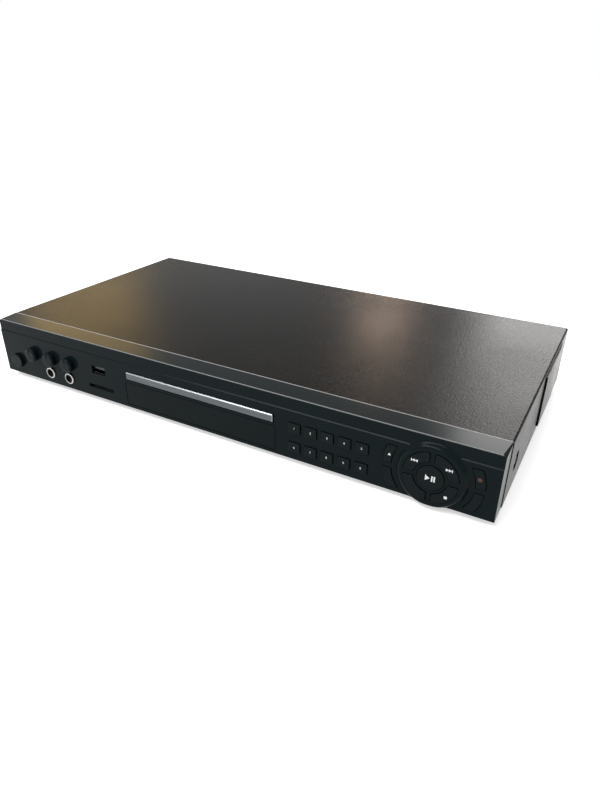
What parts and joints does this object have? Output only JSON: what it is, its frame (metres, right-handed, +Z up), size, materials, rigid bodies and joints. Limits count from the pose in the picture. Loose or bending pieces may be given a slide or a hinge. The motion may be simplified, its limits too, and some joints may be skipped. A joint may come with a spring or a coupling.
{
  "type": "karaoke player with disc tray",
  "caption": "Low full-width karaoke player with a motor-driven disc tray, microphone jacks, level knobs, number keys and a round transport pad.",
  "frame": {"origin": "middle of the overall box at the surface the feet stand on", "axes": "+X along the width to the right seen from the front, +Y from the front to the rear, +Z up"},
  "size_m": [0.4324, 0.237, 0.053],
  "materials": {
    "cover_paint": "fine textured black powder coat",
    "plain_steel": "zinc plated sheet",
    "front_plastic": "semi-gloss black",
    "window_plastic": "smoked, polished",
    "display_glass": "dark glass tube",
    "circuit_board": "solder mask",
    "socket_plastic": "moulded",
    "bright_nickel": "plated",
    "motor_steel": "plated cans",
    "screw_steel": "black zinc",
    "foot_rubber": "matt",
    "fascia_metal": "brushed, bevelled edge",
    "tray_plastic": "moulded",
    "gear_plastic": "natural acetal",
    "lamp_lens": "tinted"
  },
  "bodies": {
    "case": {"front_bezel": "front_plastic", "top_cover": "cover_paint", "base_chassis": "plain_steel", "rear_panel": "plain_steel", "feet": "foot_rubber", "display_window": "window_plastic", "display_tube": "display_glass", "key_board": "circuit_board", "mic_board": "circuit_board", "main_board": "circuit_board", "power_board": "circuit_board", "mic_jacks": "socket_plastic", "jack_nuts": "bright_nickel", "usb_socket": "bright_nickel", "card_socket": "bright_nickel", "rca_jacks": "socket_plastic", "hdmi_socket": "bright_nickel", "mains_inlet": "socket_plastic", "loader_frame": "tray_plastic", "drive_belt": "foot_rubber", "loader_motor": "motor_steel", "clamp_bridge": "plain_steel", "screws": "screw_steel"},
    "tray": {"disc_tray": "tray_plastic", "tray_fascia": "fascia_metal"},
    "tray_gear": {"tray_gear": "gear_plastic"},
    "pulley_gear": {"pulley_gear": "gear_plastic"},
    "motor_pulley": {"motor_pulley": "gear_plastic"},
    "traverse": {"traverse_frame": "tray_plastic", "traverse_motors": "motor_steel", "sled_rods": "motor_steel"},
    "turntable": {"turntable": "tray_plastic"},
    "clamp_puck": {"clamp_puck": "tray_plastic"},
    "sled": {"laser_sled": "tray_plastic"},
    "feed_gear": {"feed_gear": "gear_plastic"},
    "feed_pinion": {"feed_pinion": "gear_plastic"},
    "power_button": {"power_button": "front_plastic"},
    "level_knob_1": {"level_knob_1": "front_plastic"},
    "level_knob_2": {"level_knob_2": "front_plastic"},
    "level_knob_3": {"level_knob_3": "front_plastic"},
    "play_button": {"play_button": "front_plastic"},
    "previous_button": {"previous_button": "front_plastic"},
    "next_button": {"next_button": "front_plastic"},
    "stop_button": {"stop_button": "front_plastic"},
    "mode_button": {"mode_button": "front_plastic"},
    "eject_button": {"eject_button": "front_plastic"},
    "repeat_button": {"repeat_button": "front_plastic"},
    "record_button": {"record_button": "front_plastic", "record_lamp": "lamp_lens"},
    "playback_button": {"playback_button": "front_plastic"},
    "key_0": {"key_0": "front_plastic"},
    "key_1": {"key_1": "front_plastic"},
    "key_2": {"key_2": "front_plastic"},
    "key_3": {"key_3": "front_plastic"},
    "key_4": {"key_4": "front_plastic"},
    "key_5": {"key_5": "front_plastic"},
    "key_6": {"key_6": "front_plastic"},
    "key_7": {"key_7": "front_plastic"},
    "key_8": {"key_8": "front_plastic"},
    "key_9": {"key_9": "front_plastic"}
  },
  "joints": [
    {"name": "tray_slide", "type": "slide", "parent": "case", "child": "tray", "axis": [0, -1, 0], "range_m": [0, 0.135]},
    {"name": "tray_gear_spin", "type": "hinge", "parent": "case", "child": "tray_gear", "pos_m": [0.0382, -0.07855, 0.0303], "axis": [0, 0, 1], "range_deg": [-1033.32, 2]},
    {"name": "pulley_gear_spin", "type": "hinge", "parent": "case", "child": "pulley_gear", "pos_m": [0.0193, -0.07855, 0.0234], "axis": [0, 0, 1], "range_deg": [-4, 3613.63]},
    {"name": "motor_pulley_spin", "type": "hinge", "parent": "case", "child": "motor_pulley", "pos_m": [-0.0163, -0.07855, 0.0234], "axis": [0, 0, 1], "range_deg": [-10, 10838.9]},
    {"name": "traverse_tilt", "type": "hinge", "parent": "case", "child": "traverse", "pos_m": [-0.0063, 0.06845, 0.022], "axis": [1, 0, 0], "range_deg": [-0.02, 3.22]},
    {"name": "turntable_spin", "type": "hinge", "parent": "traverse", "child": "turntable", "pos_m": [-0.0063, -0.04255, 0.035], "axis": [0, 0, 1], "continuous": true},
    {"name": "clamp_puck_spin", "type": "hinge", "parent": "case", "child": "clamp_puck", "pos_m": [-0.0063, -0.04255, 0.04], "axis": [0, 0, 1], "continuous": true},
    {"name": "sled_slide", "type": "slide", "parent": "traverse", "child": "sled", "axis": [0, 1, 0], "range_m": [0, 0.034]},
    {"name": "feed_gear_spin", "type": "hinge", "parent": "traverse", "child": "feed_gear", "pos_m": [-0.0423, 0.01545, 0.0252], "axis": [0, 0, 1], "range_deg": [-2, 326.68]},
    {"name": "feed_pinion_spin", "type": "hinge", "parent": "traverse", "child": "feed_pinion", "pos_m": [-0.04866, 0.02181, 0.0252], "axis": [0, 0, 1], "range_deg": [-653.35, 4]},
    {"name": "power_press", "type": "slide", "parent": "case", "child": "power_button", "axis": [0, 1, 0], "range_m": [0, 0.002], "stiffness_N_per_m": 200, "springref_m": -0.001},
    {"name": "level_knob_1_turn", "type": "hinge", "parent": "case", "child": "level_knob_1", "pos_m": [-0.1775, -0.11655, 0.0284], "axis": [0, -1, 0], "range_deg": [-150, 150]},
    {"name": "level_knob_2_turn", "type": "hinge", "parent": "case", "child": "level_knob_2", "pos_m": [-0.1566, -0.11655, 0.0284], "axis": [0, -1, 0], "range_deg": [-150, 150]},
    {"name": "level_knob_3_turn", "type": "hinge", "parent": "case", "child": "level_knob_3", "pos_m": [-0.1357, -0.11655, 0.0284], "axis": [0, -1, 0], "range_deg": [-150, 150]},
    {"name": "play_press", "type": "slide", "parent": "case", "child": "play_button", "axis": [0, 1, 0], "range_m": [0, 0.0008], "stiffness_N_per_m": 250, "springref_m": -0.0005},
    {"name": "previous_press", "type": "slide", "parent": "case", "child": "previous_button", "axis": [0, 1, 0], "range_m": [0, 0.0008], "stiffness_N_per_m": 250, "springref_m": -0.0005},
    {"name": "next_press", "type": "slide", "parent": "case", "child": "next_button", "axis": [0, 1, 0], "range_m": [0, 0.0008], "stiffness_N_per_m": 250, "springref_m": -0.0005},
    {"name": "stop_press", "type": "slide", "parent": "case", "child": "stop_button", "axis": [0, 1, 0], "range_m": [0, 0.0008], "stiffness_N_per_m": 250, "springref_m": -0.0005},
    {"name": "mode_press", "type": "slide", "parent": "case", "child": "mode_button", "axis": [0, 1, 0], "range_m": [0, 0.0008], "stiffness_N_per_m": 250, "springref_m": -0.0005},
    {"name": "eject_press", "type": "slide", "parent": "case", "child": "eject_button", "axis": [0, 1, 0], "range_m": [0, 0.0008], "stiffness_N_per_m": 250, "springref_m": -0.0005},
    {"name": "repeat_press", "type": "slide", "parent": "case", "child": "repeat_button", "axis": [0, 1, 0], "range_m": [0, 0.0008], "stiffness_N_per_m": 250, "springref_m": -0.0005},
    {"name": "record_press", "type": "slide", "parent": "case", "child": "record_button", "axis": [0, 1, 0], "range_m": [0, 0.0008], "stiffness_N_per_m": 250, "springref_m": -0.0005},
    {"name": "playback_press", "type": "slide", "parent": "case", "child": "playback_button", "axis": [0, 1, 0], "range_m": [0, 0.0008], "stiffness_N_per_m": 250, "springref_m": -0.0005},
    {"name": "key_0_press", "type": "slide", "parent": "case", "child": "key_0", "axis": [0, 1, 0], "range_m": [0, 0.0008], "stiffness_N_per_m": 250, "springref_m": -0.0005},
    {"name": "key_1_press", "type": "slide", "parent": "case", "child": "key_1", "axis": [0, 1, 0], "range_m": [0, 0.0008], "stiffness_N_per_m": 250, "springref_m": -0.0005},
    {"name": "key_2_press", "type": "slide", "parent": "case", "child": "key_2", "axis": [0, 1, 0], "range_m": [0, 0.0008], "stiffness_N_per_m": 250, "springref_m": -0.0005},
    {"name": "key_3_press", "type": "slide", "parent": "case", "child": "key_3", "axis": [0, 1, 0], "range_m": [0, 0.0008], "stiffness_N_per_m": 250, "springref_m": -0.0005},
    {"name": "key_4_press", "type": "slide", "parent": "case", "child": "key_4", "axis": [0, 1, 0], "range_m": [0, 0.0008], "stiffness_N_per_m": 250, "springref_m": -0.0005},
    {"name": "key_5_press", "type": "slide", "parent": "case", "child": "key_5", "axis": [0, 1, 0], "range_m": [0, 0.0008], "stiffness_N_per_m": 250, "springref_m": -0.0005},
    {"name": "key_6_press", "type": "slide", "parent": "case", "child": "key_6", "axis": [0, 1, 0], "range_m": [0, 0.0008], "stiffness_N_per_m": 250, "springref_m": -0.0005},
    {"name": "key_7_press", "type": "slide", "parent": "case", "child": "key_7", "axis": [0, 1, 0], "range_m": [0, 0.0008], "stiffness_N_per_m": 250, "springref_m": -0.0005},
    {"name": "key_8_press", "type": "slide", "parent": "case", "child": "key_8", "axis": [0, 1, 0], "range_m": [0, 0.0008], "stiffness_N_per_m": 250, "springref_m": -0.0005},
    {"name": "key_9_press", "type": "slide", "parent": "case", "child": "key_9", "axis": [0, 1, 0], "range_m": [0, 0.0008], "stiffness_N_per_m": 250, "springref_m": -0.0005}
  ],
  "couplings": [
    {"joint": "tray_gear_spin", "follows": "tray_slide", "rad_per_m": -133.33},
    {"joint": "pulley_gear_spin", "follows": "tray_slide", "rad_per_m": 466.67},
    {"joint": "motor_pulley_spin", "follows": "tray_slide", "rad_per_m": 1400},
    {"joint": "traverse_tilt", "follows": "tray_slide", "rad_per_m": 0.41371},
    {"joint": "clamp_puck_spin", "follows": "turntable_spin", "ratio": 1},
    {"joint": "feed_gear_spin", "follows": "sled_slide", "rad_per_m": 166.67},
    {"joint": "feed_pinion_spin", "follows": "sled_slide", "rad_per_m": -333.33}
  ]
}
